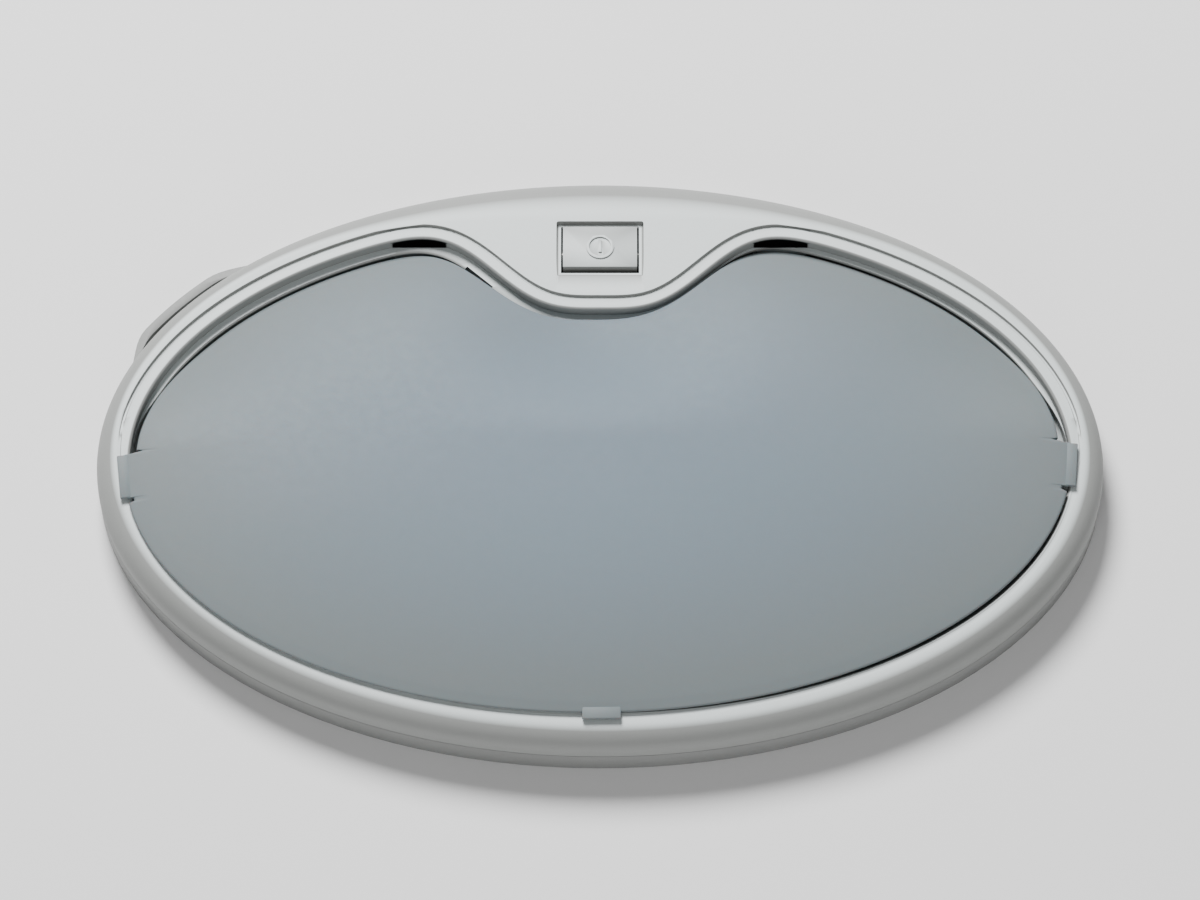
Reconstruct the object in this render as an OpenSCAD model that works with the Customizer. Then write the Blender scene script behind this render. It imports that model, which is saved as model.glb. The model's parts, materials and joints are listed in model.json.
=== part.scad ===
// Oval dome light: a base pan and a crowned bezel round a hinged opal lens, with a rocker switch.
// It lies on its back: the wall face is z = 0, +Z points out of the lens, +Y points to the crown.

/* [Housing] */
// Length of the housing along X
length = 250; // [244:1:256]
// Width of the housing along Y
width = 153; // [150:1:156]
// Height of the seam between base pan and bezel
seam_z = 8; // [7.6:0.1:8.2]
// Height of the bezel face
face_z = 16; // [15.8:0.1:16.4]
// Thickness of the moulded walls
wall = 2.2; // [2:0.1:2.4]

/* [Opening] */
// Length of the opening in the bezel
opening_length = 232.8; // [230:0.2:234]
// Width of the opening, as if it had no hump
opening_width = 132.8; // [131:0.2:134]
// Shift of the opening's centre away from the crown
opening_shift = 1; // [0.6:0.1:1.4]
// How far the crown's hump dips into the opening
hump_depth = 25.7; // [24:0.1:27]
// Half width of the hump
hump_reach = 30.8; // [29:0.1:32]
// Squareness of the hump
hump_power = 3.1; // [2.8:0.1:3.4]

/* [Lens] */
// Height of the top of the dome
crest_z = 25; // [24:0.5:27]
// Thickness of the lens
lens_wall = 1.8; // [1.6:0.1:2]
// Sideways offset of the lens in its clearance
lens_shift = -0.6; // [-0.8:0.1:0]
// Turn of the lens in its clearance, in degrees
lens_turn = 0.8; // [0:0.1:1]
// Width of the tab that the lens is pulled by
pull_tab_width = 9.5; // [8:0.5:12]

/* [Switch] */
// Distance of the rocker from the centre of the base
rocker_y = 56.4; // [56:0.1:56.8]
// Length of the recess round the rocker
recess_length = 21.9; // [21.5:0.1:22.2]
// Width of the recess round the rocker
recess_width = 15.3; // [15:0.1:15.5]
// Length of the rocker
rocker_length = 18.6; // [18.2:0.1:18.8]
// Width of the rocker
rocker_width = 11.6; // [11.2:0.1:11.8]
// Tilt of the rocker to each side of level, in degrees
rocker_tilt = 6; // [5:0.5:6]

/* [Mounting] */
// Distance between mounting holes along X
mount_spacing_x = 150; // [146:1:154]
// Distance between mounting holes along Y
mount_spacing_y = 64; // [62:1:66]
// Radius of a mounting hole
mount_hole_r = 2.25; // [2:0.05:2.4]
// Radius of the bore in the cable grommet
cable_bore_r = 3.2; // [2.8:0.1:3.4]

/* [Hidden] */

$fn = 48;
slack = 0.01;
sectors = 120;
step = 360 / sectors;

// Base pan
floor_z = 2.4;
gasket_depth = 1.2;
gasket_inner = 6.5;
gasket_outer = 3.5;
rib_height = 1.4;
rib_outer = wall + 0.3;
rib_inner = wall + 1.6;
ear_from = 131;
ear_to = 161;
ear_blend = 9;
ear_reach = 4.2;
ear_strip = 2.2;
ear_low_z = 1;
grommet_at = [-58, 26];
grommet_hole_r = 6;

// Bezel
lip_bead_z = face_z + 0.1;
groove_width = 0.8;
groove_depth = 0.8;
skirt_top_z = seam_z + 2;
roof_z = face_z - wall;
ledge_low_z = 6.4;
ledge_high_z = 8;
ledge_reach = 3.3;
lug_inset = 8.5;
lug_r = 4.2;
lug_angles = [30, 150, 215, 325];
flange_low_z = 12;
flange_high_z = 12.8;
flange_gap = 0.42;
flange_end = 0.05;
window_x = 45.6;
window_width = 14.2;
window_y = 58.6;
window_depth = 4.4;
pocket_low_z = 8.9;
pocket_high_z = 11.95;
slot_y = 59.5;
slot_depth = 2.6;
slot_low_z = 12.3;
slot_high_z = 15.2;
relief_turn = 104;
relief_size = [1.5, 8.6];

// Lens
lap_gap = 0.3;
lens_gap = 2.4;
lens_inset = 0.25 - lens_gap;
lap_reach = 0.9;
rim_thickness = 1.3;
rim_low_z = 9.8;
rim_high_z = lip_bead_z + lap_gap;
dome_rings = 7;
dome_power = 2.8;
valley_depth = 7;
valley_reach = 30;
end_tab_width = 11.4;
end_tab_reach = 1.3;
end_notch = 1.5;
hook_width = 12.6;
hook_thickness = 1;
hook_root_y = 53.6;
knuckle_r = 1;
hinge_y = 58.4;
hinge_z = 10.8;

// Tray, boards and driver
tray_z = 6.9;
tray_thickness = 1.2;
tray_top_z = tray_z + tray_thickness;
tray_inset = 3.8;
tray_posts = [[-44, -36], [44, -36], [-14, 26], [30, 26]];
board_thickness = 1.6;
board_size = [70, 36];
board_x = 63;
board_y = -8;
board_top_z = tray_top_z + board_thickness;
driver_size = [40, 26];
driver_at = [0, -10];
cover_height = 10;
cover_wall = 1.2;
block_at = [-34, 25];
block_size = [18, 9];
block_top_z = 12;

// Switch
cutout_gap = 0.5;
cutout_tilt_gap = 0.8;
pivot_z = 11.4;
pin_r = 1.1;
switch_low_z = 3.6;
switch_top_z = roof_z;
switch_wall = 1.2;
switch_floor_z = switch_low_z + 1;
switch_inner = [rocker_length + 1, rocker_width + 1.6];
switch_outer = [switch_inner[0] + 2 * switch_wall, switch_inner[1] + 2 * switch_wall];
wing_reach = 6;
wing_thickness = 1.4;
seesaw_z = 5;
seesaw_bead_r = 0.35;
seesaw_tilt = 4;
contact_y = 3.8;

// Routes of the wires: two under the tray to the switch, the rest over it. Each starts in a port
wire_r = 0.55;
port_r = 0.9;
port_depth = 2.2;
block_ports = [[28, 4.6], [24.6, 4.6], [27.6, 9.6], [22.4, 9.6]];
live_switch_route = [
    [-27, 28, 4.6], [-24.2, 28, 4.6], [-22.4, 30, 4.5], [-18, 38, 4],
    [-13, 43.5, 3.3], [-9, 47, 3.02], [-6, 50.5, 3], [-1.9, 52.6, 3]
];
switch_return_route = [
    [-27, 24.6, 4.6], [-24, 24.6, 4.6], [-21.4, 25.6, 4.5], [-18.4, 30, 4.3], [-4, 38, 3.8],
    [5, 43, 3.3], [7.5, 47, 3.02], [6, 53, 3], [2.2, 56.4, 3]
];
driver_live_route = [
    [-27, 22.4, 9.6], [-24.2, 22.4, 9.6], [-21.6, 21.4, 9.6],
    [-16, 16, 9.6], [-12, 9, 9.9], [-12, 2.4, 10.3]
];
driver_neutral_route = [
    [-27, 27.6, 9.6], [-24.2, 27.6, 9.6], [-21, 26.6, 9.6],
    [-12, 19, 9.6], [-6, 10, 9.9], [-6, 2.4, 10.3]
];
led_route = [[19, -6, 10.3], [22, -6, 10.7], [26, -6, 10.7], [29.4, -6, 10.3]];

// Shapes shared by several pieces

function clamp01(v) = min(max(v, 0), 1);
function ease(v) = let (c = clamp01(v)) c * c * (3 - 2 * c);
function mix(a, b, w) = a + (b - a) * w;
// 0 round the lower half of the ring, 1 round the half with the crown
function crown_side(t) = ease((sin(t) + 0.25) / 0.5);

// Depth of the hump below the plain ellipse of the opening
function hump(x) = hump_depth * exp(-pow(abs(x) / hump_reach, hump_power));
function lip_point(t) = let (x = opening_length / 2 * cos(t)) [
    x,
    opening_width / 2 * sin(t) - opening_shift - (sin(t) > 0 ? hump(x) : 0)
];
function lip_normal(t) = let (v = lip_point(t + 0.5) - lip_point(t - 0.5)) [v[1], -v[0]] / norm(v);
function beside_lip(t, out) = lip_point(t) + out * lip_normal(t);
function rim_point(t, inset) = [(length / 2 - inset) * cos(t), (width / 2 - inset) * sin(t)];
function with_z(p, z) = [p[0], p[1], z];

module ellipse_plate(inset) {
    polygon([for (i = [0:sectors - 1]) rim_point(i * step, inset)]);
}

module opening_plate(out) {
    polygon([for (i = [0:sectors - 1]) beside_lip(i * step, out)]);
}

// A ring whose section changes as it goes round
module ring_of(sections) {
    n = len(sections);
    m = len(sections[0]);
    faces = [
        for (i = [0:n - 1], j = [0:m - 1])
            let (k = (i + 1) % n, l = (j + 1) % m)
            each [[i * m + j, k * m + l, i * m + l], [i * m + j, k * m + j, k * m + l]]
    ];
    polyhedron([for (s = sections, p = s) p], faces);
}

// A cap: sections that run from one pole, over the rim, to the other pole
module cap_of(sections, top, bottom) {
    n = len(sections);
    m = len(sections[0]);
    sides = [
        for (i = [0:n - 1], j = [0:m - 2])
            let (k = (i + 1) % n)
            each [[i * m + j, k * m + j + 1, i * m + j + 1], [i * m + j, k * m + j, k * m + j + 1]]
    ];
    lids = [
        for (i = [0:n - 1])
            let (k = (i + 1) % n)
            each [[n * m, k * m, i * m], [n * m + 1, i * m + m - 1, k * m + m - 1]]
    ];
    polyhedron([for (s = sections, p = s) p, top, bottom], concat(sides, lids));
}

// A round tube along a list of points
module tube(route, r, sides = 8) {
    last = len(route) - 1;
    rings = [
        for (i = [0:last])
            let (
                way = route[min(i + 1, last)] - route[max(i - 1, 0)],
                along = way / norm(way),
                side = cross(along, abs(along[2]) > 0.9 ? [1, 0, 0] : [0, 0, 1]),
                u = side / norm(side),
                v = cross(along, u)
            )
            for (k = [0:sides - 1])
                route[i] + r * (cos(360 * k / sides) * u + sin(360 * k / sides) * v)
    ];
    skin = [
        for (i = [0:last - 1], k = [0:sides - 1])
            let (a = i * sides + k, b = i * sides + (k + 1) % sides)
            each [[a, b, b + sides], [a, b + sides, a + sides]]
    ];
    ends = [
        [for (k = [sides - 1:-1:0]) k],
        [for (k = [0:sides - 1]) last * sides + k]
    ];
    polyhedron(rings, concat(skin, ends));
}

// Points on a smooth curve through the hand-set points of a route
function smooth_route(p, cuts = 4) = [
    for (i = [0:len(p) - 2], c = [0:cuts - 1])
        let (
            w = c / cuts,
            a = p[max(i - 1, 0)],
            b = p[i],
            d = p[i + 1],
            e = p[min(i + 2, len(p) - 1)]
        )
        0.5 * (2 * b + (d - a) * w + (2 * a - 5 * b + 4 * d - e) * w * w
            + (3 * b - a - 3 * d + e) * w * w * w),
    p[len(p) - 1]
];

module box_at(centre, size, low, high) {
    translate([centre[0] - size[0] / 2, centre[1] - size[1] / 2, low])
        cube([size[0], size[1], high - low]);
}

module post_at(p, r, low, high) {
    translate([p[0], p[1], low]) cylinder(r = r, h = high - low);
}

// A pan-head screw that points down, with a cross slot
module screw_at(p, seat, shank_r, shank_length, head_r, head_height) {
    difference() {
        union() {
            post_at(p, head_r, seat, seat + head_height);
            post_at(p, shank_r, seat - shank_length, seat + slack);
        }
        box_at(p, [head_r * 1.2, 0.6], seat + head_height * 0.5, seat + head_height + 1);
        box_at(p, [0.6, head_r * 1.2], seat + head_height * 0.5, seat + head_height + 1);
    }
}

lug_places = [for (t = lug_angles) beside_lip(t, -lug_inset)];
mount_places = [
    for (sx = [-1, 1], sy = [-1, 1]) [sx * mount_spacing_x / 2, sy * mount_spacing_y / 2]
];

// Base

module ear_outline(out) {
    turns = [ear_from:1:ear_to];
    polygon(concat(
        [for (t = turns)
            rim_point(t, -(out * ease((t - ear_from) / ear_blend) * ease((ear_to - t) / ear_blend)))],
        [for (i = [ear_to:-1:ear_from]) rim_point(i, 4)]
    ));
}

module base_pan() color("gainsboro") {
    difference() {
        union() {
            linear_extrude(seam_z) ellipse_plate(0);
            translate([0, 0, seam_z - slack]) linear_extrude(rib_height) difference() {
                ellipse_plate(rib_outer);
                ellipse_plate(rib_inner);
            }
            translate([0, 0, ear_low_z]) linear_extrude(seam_z - ear_low_z) ear_outline(ear_reach);
        }
        difference() {
            translate([0, 0, floor_z]) linear_extrude(seam_z) ellipse_plate(rib_inner);
            for (p = lug_places) post_at(p, 3.6, 0, ledge_low_z);
            for (p = tray_posts) post_at(p, 3.2, 0, tray_z);
            for (p = mount_places) post_at(p, 5, 0, floor_z + 1);
        }
        translate([0, 0, -1]) linear_extrude(gasket_depth + 1) difference() {
            ellipse_plate(gasket_outer);
            ellipse_plate(gasket_inner);
        }
        translate([0, 0, ear_low_z - 1]) linear_extrude(seam_z) difference() {
            offset(-0.8) ear_outline(ear_reach - ear_strip + 0.8);
            ellipse_plate(-0.1);
        }
        for (p = lug_places) post_at(p, 1.2, floor_z - 1, seam_z);
        for (p = tray_posts) post_at(p, 1.2, floor_z - 1, seam_z);
        for (p = mount_places) post_at(p, mount_hole_r, -1, seam_z);
        post_at(grommet_at, grommet_hole_r, -1, seam_z);
    }
}

module rear_gasket() color("dimgray") {
    linear_extrude(gasket_depth) difference() {
        ellipse_plate(gasket_outer);
        ellipse_plate(gasket_inner);
    }
}

module cable_grommet() color("dimgray") {
    translate([grommet_at[0], grommet_at[1], 0]) rotate_extrude() polygon([
        [cable_bore_r, 0.2],
        [grommet_hole_r, 0.2],
        [grommet_hole_r, floor_z],
        [grommet_hole_r + 1.6, floor_z],
        [grommet_hole_r + 1.6, floor_z + 1.2],
        [grommet_hole_r - 1, floor_z + 1.8],
        [cable_bore_r, floor_z + 1.8]
    ]);
}

// Bezel

// Width of the rounded shoulder: narrow at the ends, wide over the crown
function shoulder(t) = let (s = max(sin(t), 0)) mix(6, 4.6 + 7.2 * pow(s, 9), crown_side(t));

// Inner edge of the flange that covers the lens's edge: it follows the lens on the crown's side
function flange_point(t) = let (
    w = ease((sin(t) - 0.35) / 0.25),
    near = beside_lip(t, -flange_end),
    far = on_lens(with_z(beside_lip(t, flange_gap + lens_inset), 0))
) [mix(near[0], far[0], w), mix(near[1], far[1], w)];

function bezel_section(t) = let (
    g = mix(1.25, 3.1, crown_side(t)),
    depth = mix(0.05, groove_depth, ease((sin(t) - 0.05) / 0.2)),
    s = shoulder(t)
) [
    with_z(beside_lip(t, -ledge_reach), ledge_low_z),
    with_z(beside_lip(t, -ledge_reach), ledge_high_z),
    with_z(beside_lip(t, 0), ledge_high_z),
    with_z(beside_lip(t, 0), flange_low_z),
    with_z(flange_point(t), flange_low_z),
    with_z(flange_point(t), flange_high_z),
    with_z(beside_lip(t, 0), flange_high_z),
    with_z(beside_lip(t, 0), face_z - 0.8),
    with_z(beside_lip(t, 0.3), face_z - 0.15),
    with_z(beside_lip(t, 0.9), lip_bead_z),
    with_z(beside_lip(t, g), face_z),
    with_z(beside_lip(t, g + 0.15), face_z - depth),
    with_z(beside_lip(t, g + groove_width - 0.15), face_z - depth),
    with_z(beside_lip(t, g + groove_width), face_z),
    for (a = [0, 22.5, 45, 67.5, 90])
        with_z(rim_point(t, s * (1 - sin(a))), skirt_top_z + (face_z - skirt_top_z) * cos(a)),
    with_z(rim_point(t, 0), seam_z),
    with_z(rim_point(t, wall), seam_z),
    with_z(rim_point(t, wall), skirt_top_z + 0.4),
    with_z(rim_point(t, s * 0.75), roof_z),
    with_z(beside_lip(t, 2.3), roof_z),
    with_z(beside_lip(t, 2), ledge_low_z)
];

module bezel() color("whitesmoke") {
    difference() {
        union() {
            ring_of([for (i = [0:sectors - 1]) bezel_section(i * step)]);
            for (t = lug_angles) translate([0, 0, ledge_low_z + 0.05])
                linear_extrude(ledge_high_z - ledge_low_z - 0.1) lug_outline(t);
        }
        for (p = lug_places) post_at(p, 1.7, ledge_low_z - 1, ledge_high_z + 1);
        for (side = [-1, 1]) {
            box_at([side * window_x, window_y], [window_width, window_depth], pocket_low_z, pocket_high_z);
            box_at([side * window_x, slot_y], [window_width, slot_depth], slot_low_z, slot_high_z);
        }
        flange_relief();
        rocker_cutout();
        for (side = [-1, 1])
            post_at([side * (switch_outer[0] / 2 + wing_reach / 2), rocker_y], 1, roof_z - 1, roof_z + 1.4);
    }
}

// A short relief in the flange, on the hump's flank
module flange_relief() {
    n = lip_normal(relief_turn);
    translate(with_z(flange_point(relief_turn), 0)) rotate(atan2(n[1], n[0]))
        box_at([0, 0], relief_size, flange_low_z - 0.5, flange_high_z + 0.5);
}

// A screw lug's outline: a round end, tied to the ledge by a web of the same width
module lug_outline(t) {
    root = beside_lip(t, -ledge_reach + 1);
    eye = beside_lip(t, -lug_inset);
    turn = atan2(lip_normal(t)[1], lip_normal(t)[0]);
    translate(eye) rotate(turn) polygon(concat(
        [[norm(root - eye), -lug_r], [norm(root - eye), lug_r]],
        [for (i = [0:24]) lug_r * [cos(90 + i * 7.5), sin(90 + i * 7.5)]]
    ));
}

// The rocker's opening, and a recess whose floor slopes down towards the crown's edge
module rocker_cutout() {
    box_at([0, rocker_y], [rocker_length + 2 * cutout_gap, rocker_width + 2 * cutout_tilt_gap],
        roof_z - 1, face_z + 2);
    translate([0, rocker_y - recess_width / 2, face_z])
        rotate([90, 0, 90])
            translate([0, 0, -recess_length / 2])
                linear_extrude(recess_length)
                    polygon([[0, -0.15], [recess_width, -1.4], [recess_width, 2], [0, 2]]);
}

module bezel_screws() color("silver") {
    for (p = lug_places) screw_at(p, ledge_high_z, 1.15, 5, 2.7, 1.7);
}

// Lens

// 0 where the rim sits deep below the crown, 1 where it laps over the ring
function lens_low(t) = 1 - ease((sin(t) - 0.04) / 0.5);
function lap(t) = sin(t) < 0.04 ? lap_reach : lens_inset;
function on_lens(p) = let (c = cos(lens_turn), s = sin(lens_turn))
    [c * p[0] - s * p[1] + lens_shift, s * p[0] + c * p[1], p[2]];

// Height of the dome over a point: a cap that is lower on the crown's side, with a valley at the hump
function dome_z(p) = let (
    u = p[0] / (opening_length / 2),
    v = (p[1] + opening_shift) / (opening_width / 2),
    rho = max(norm([u, v]), slack),
    edge_z = mix(rim_low_z, rim_high_z, 1 - ease((v / rho - 0.04) / 0.5)) + rim_thickness,
    valley = valley_depth * exp(-pow(p[0] / valley_reach, 2)) * ease((p[1] - 2) / 34)
) crest_z - (crest_z - edge_z) * pow(rho, dome_power) - valley;
function toward_centre(edge, w) = [edge[0] * w, edge[1] * w - opening_shift * (1 - w)];

function lens_section(t) = let (
    outer = beside_lip(t, lap(t)),
    skirt = beside_lip(t, -lens_gap),
    inner = beside_lip(t, -lens_gap - 1.6),
    z = lens_low(t) == 1 ? rim_high_z : min(dome_z(outer) - rim_thickness, rim_high_z),
    low = z - mix(1.4, 4, lens_low(t))
) [
    for (i = [1:dome_rings])
        let (p = toward_centre(outer, i / dome_rings)) on_lens(with_z(p, max(dome_z(p), z + 0.9))),
    on_lens(with_z(outer, z)),
    on_lens(with_z(skirt, z)),
    on_lens(with_z(skirt, low)),
    on_lens(with_z(inner, low)),
    for (i = [dome_rings:-1:1])
        let (p = toward_centre(inner, i / dome_rings)) on_lens(with_z(p, dome_z(p) - lens_wall))
];

module lens_hook(side) {
    translate([side * window_x - hook_width / 2, 0, hinge_z - hook_thickness / 2]) {
        translate([0, hook_root_y, 0]) cube([hook_width, hinge_y - hook_root_y, hook_thickness]);
        translate([0, hinge_y, hook_thickness / 2]) rotate([0, 90, 0])
            cylinder(r = knuckle_r, h = hook_width);
    }
}

module lens_tab(t, tab_width, reach) {
    p = beside_lip(t, lap_reach);
    n = lip_normal(t);
    translate([p[0], p[1], rim_high_z])
        rotate(atan2(n[1], n[0]))
            translate([-1.5, -tab_width / 2, 0])
                cube([1.5 + reach, tab_width, rim_thickness]);
}

module lens_end_notch(t, side) {
    p = beside_lip(t, lap_reach);
    n = lip_normal(t);
    translate([p[0], p[1], rim_high_z - 1])
        rotate(atan2(n[1], n[0]))
            translate([-end_notch, side * (end_tab_width / 2 + end_notch / 2) - end_notch / 2, 0])
                cube([end_notch * 3, end_notch, 5]);
}

module lens() color("lightsteelblue") {
    difference() {
        union() {
            cap_of([for (i = [0:sectors - 1]) lens_section(i * step)],
                on_lens([0, -opening_shift, crest_z]),
                on_lens([0, -opening_shift, crest_z - lens_wall]));
            translate([lens_shift, 0, 0]) rotate(lens_turn) {
                lens_tab(-90, pull_tab_width, 1.7);
                lens_tab(-3, end_tab_width, end_tab_reach);
                lens_tab(183, end_tab_width, end_tab_reach);
            }
            for (side = [-1, 1]) lens_hook(side);
        }
        translate([lens_shift, 0, 0]) rotate(lens_turn) for (side = [-1, 1]) {
            lens_end_notch(-3, side);
            lens_end_notch(183, side);
        }
    }
}

// Inside

module reflector_tray() color("white") {
    translate([0, 0, tray_z]) linear_extrude(tray_thickness) difference() {
        opening_plate(-tray_inset);
        for (t = lug_angles) offset(0.5) lug_outline(t);
        for (p = tray_posts) translate(p) circle(1.6);
        translate(block_at - block_size / 2 - [0.5, 0.5]) square([block_size[0] + 1, block_size[1] + 1]);
    }
}

module tray_screws() color("silver") {
    for (p = tray_posts) screw_at(p, tray_top_z, 1.15, 5, 2.6, 1.6);
}

module led_board(side) {
    box_at([side * board_x, board_y], board_size, tray_top_z, board_top_z);
}

module leds(side) {
    for (i = [-2.5:2.5], j = [-1:1])
        box_at([side * board_x + i * 11, board_y + j * 11], [3.5, 2.8], board_top_z, board_top_z + 0.8);
}

module led_board_left() color("ivory") led_board(-1);
module led_board_right() color("ivory") led_board(1);
module leds_left() color("khaki") leds(-1);
module leds_right() color("khaki") leds(1);

module driver_board() color("seagreen") {
    box_at(driver_at, driver_size, tray_top_z, board_top_z);
}

module driver_transformer() color("goldenrod") {
    box_at(driver_at + [-8, -2], [13, 12], board_top_z, board_top_z + 6.4);
}

module driver_capacitor() color("navy") {
    translate([driver_at[0] + 4, driver_at[1] - 6, board_top_z + 3]) rotate([0, 90, 0])
        cylinder(r = 3, h = 11);
}

module driver_components() color("dimgray") {
    for (i = [0:2]) box_at(driver_at + [5 + 4.6 * i, 3], [3.2, 1.8], board_top_z, board_top_z + 1.2);
    for (i = [0:1]) box_at(driver_at + [6 + 6 * i, 8], [4, 2.6], board_top_z, board_top_z + 1.6);
}

module driver_cover() color("white") {
    size = driver_size + [4, 4];
    difference() {
        box_at(driver_at, size, tray_top_z, tray_top_z + cover_height);
        box_at(driver_at, size - 2 * [cover_wall, cover_wall], tray_top_z - 1,
            tray_top_z + cover_height - cover_wall);
        for (side = [-1, 1])
            box_at(driver_at + [side * size[0] / 2, 4], [5, 4], tray_top_z - 1, tray_top_z + 4.4);
        for (x = [-12, -6])
            box_at([x, driver_at[1] + size[1] / 2], [3.2, 5], tray_top_z - 1, tray_top_z + 4.8);
        for (i = [-3:3])
            box_at(driver_at + [i * 5, 0], [1.6, 16], tray_top_z + 1, tray_top_z + cover_height + 1);
    }
}

module terminal_block() color("whitesmoke") {
    difference() {
        box_at(block_at, block_size, floor_z, block_top_z);
        for (x = [-4.5, 4.5]) {
            post_at(block_at + [x, 0], 1.9, block_top_z - 2.4, block_top_z + 1);
            translate([block_at[0] + x, block_at[1] - block_size[1], 5]) rotate([-90, 0, 0])
                cylinder(r = 1.2, h = block_size[1] * 0.9);
        }
        for (port = block_ports)
            translate([block_at[0] + block_size[0] / 2 - port_depth, port[0], port[1]])
                rotate([0, 90, 0]) cylinder(r = port_r, h = port_depth + 1);
    }
}

module terminal_screws() color("silver") {
    for (x = [-4.5, 4.5]) difference() {
        post_at(block_at + [x, 0], 1.9, block_top_z - 2.4, block_top_z - 0.6);
        box_at(block_at + [x, 0], [3, 0.6], block_top_z - 1.3, block_top_z);
    }
}

// Switch

module switch_body() color("dimgray") {
    difference() {
        union() {
            box_at([0, rocker_y], switch_outer, switch_low_z, switch_top_z);
            box_at([0, rocker_y], [switch_outer[0] + 2 * wing_reach, 8],
                switch_top_z - wing_thickness, switch_top_z);
        }
        box_at([0, rocker_y], switch_inner, switch_floor_z, switch_top_z + 1);
        translate([-switch_outer[0], rocker_y, pivot_z]) rotate([0, 90, 0])
            cylinder(r = pin_r, h = 2 * switch_outer[0]);
        for (side = [-1, 1]) post_at([side * (switch_outer[0] / 2 + wing_reach / 2), rocker_y], 1.3,
            switch_top_z - 2, switch_top_z + 1);
        for (y = [-contact_y, 0, contact_y])
            box_at([0, rocker_y + y], [3, 1], switch_low_z - 1, switch_floor_z + 1);
    }
}

module switch_screws() color("silver") {
    for (side = [-1, 1])
        translate([side * (switch_outer[0] / 2 + wing_reach / 2), rocker_y, switch_top_z - wing_thickness])
            rotate([180, 0, 0]) {
                cylinder(r = 2, h = 1.4);
                translate([0, 0, -2.6]) cylinder(r = 0.95, h = 2.7);
            }
}

module switch_terminals() color("goldenrod") {
    for (y = [-contact_y, 0, contact_y])
        box_at([0, rocker_y + y], [3, 1], floor_z + 0.1, switch_floor_z + 0.03);
}

module rocker() color("whitesmoke") {
    translate([0, rocker_y, pivot_z]) rotate([-rocker_tilt, 0, 0]) difference() {
        union() {
            translate([-rocker_length / 2, -rocker_width / 2, 0.6])
                cube([rocker_length, rocker_width, face_z - pivot_z - 0.4]);
            translate([-rocker_length / 2, 0, 0]) rotate([0, 90, 0])
                cylinder(r = 2.3, h = rocker_length);
            translate([0, 0, -3.4]) cylinder(r = 1.8, h = 4.4);
            translate([0, 0, face_z - pivot_z + 0.2 - slack]) linear_extrude(0.4) {
                difference() {
                    circle(3.5);
                    circle(2.7);
                }
                translate([-0.4, -1.7]) square([0.8, 3.4]);
            }
        }
        translate([-rocker_length, 0, 0]) rotate([0, 90, 0])
            cylinder(r = pin_r + 0.05, h = 2 * rocker_length);
        translate([0, 0, -4]) cylinder(r = 1.05, h = 2.9 - pin_r);
    }
}

module rocker_pin() color("silver") {
    translate([-switch_outer[0] / 2 + 0.1, rocker_y, pivot_z]) rotate([0, 90, 0])
        cylinder(r = pin_r, h = switch_outer[0] - 0.2);
}

module rocker_plunger() color("goldenrod") {
    translate([0, rocker_y, pivot_z]) rotate([-rocker_tilt, 0, 0]) {
        translate([0, 0, -5]) cylinder(r = 0.8, h = 1.5);
        translate([0, 0, -5]) sphere(r = 0.8);
    }
}

module plunger_spring() color("silver") {
    turns = 3;
    cuts = 10;
    translate([0, rocker_y, pivot_z]) rotate([-rocker_tilt, 0, 0])
        tube([
            for (i = [0:turns * cuts])
                [0.72 * cos(i * 360 / cuts), 0.72 * sin(i * 360 / cuts), -3.3 + i * 0.9 / (turns * cuts)]
        ], 0.13, 6);
}

module seesaw_contact() color("darkgoldenrod") {
    translate([0, rocker_y, seesaw_z]) rotate([seesaw_tilt, 0, 0]) {
        translate([-1.6, -5, 0]) cube([3.2, 10, 0.4]);
        translate([-1.6, 0, 0]) rotate([0, 90, 0]) cylinder(r = seesaw_bead_r, h = 3.2);
    }
}

// Wires

module wire_live_switch() color("saddlebrown") tube(smooth_route(live_switch_route), wire_r);
module wire_switch_return() color("black") tube(smooth_route(switch_return_route), wire_r);
module wire_driver_live() color("saddlebrown") tube(smooth_route(driver_live_route), wire_r);
module wire_driver_neutral() color("royalblue") tube(smooth_route(driver_neutral_route), wire_r);
module wire_led_left() color("red") mirror([1, 0, 0]) tube(smooth_route(led_route), wire_r);
module wire_led_right() color("red") tube(smooth_route(led_route), wire_r);

base_pan();
rear_gasket();
cable_grommet();
bezel();
bezel_screws();
lens();
reflector_tray();
tray_screws();
led_board_left();
led_board_right();
leds_left();
leds_right();
driver_board();
driver_transformer();
driver_capacitor();
driver_components();
driver_cover();
terminal_block();
terminal_screws();
switch_body();
switch_screws();
switch_terminals();
rocker();
rocker_pin();
rocker_plunger();
plunger_spring();
seesaw_contact();
wire_live_switch();
wire_switch_return();
wire_driver_live();
wire_driver_neutral();
wire_led_left();
wire_led_right();
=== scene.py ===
# %% [markdown]
# # An oval dome light
#
# The light lies on its back. A white base pan carries a crowned bezel, the bezel holds a domed
# opal lens, and a rocker switch sits in the crown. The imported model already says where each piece
# is and how it moves. Here each piece gets its real surface: rounded edges, a moulded grain, a
# satin lens. Lengths are written in millimetres and turned into metres once, in `metres`.

import json
import math

import bmesh
import bpy
from mathutils import Matrix, Vector


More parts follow.
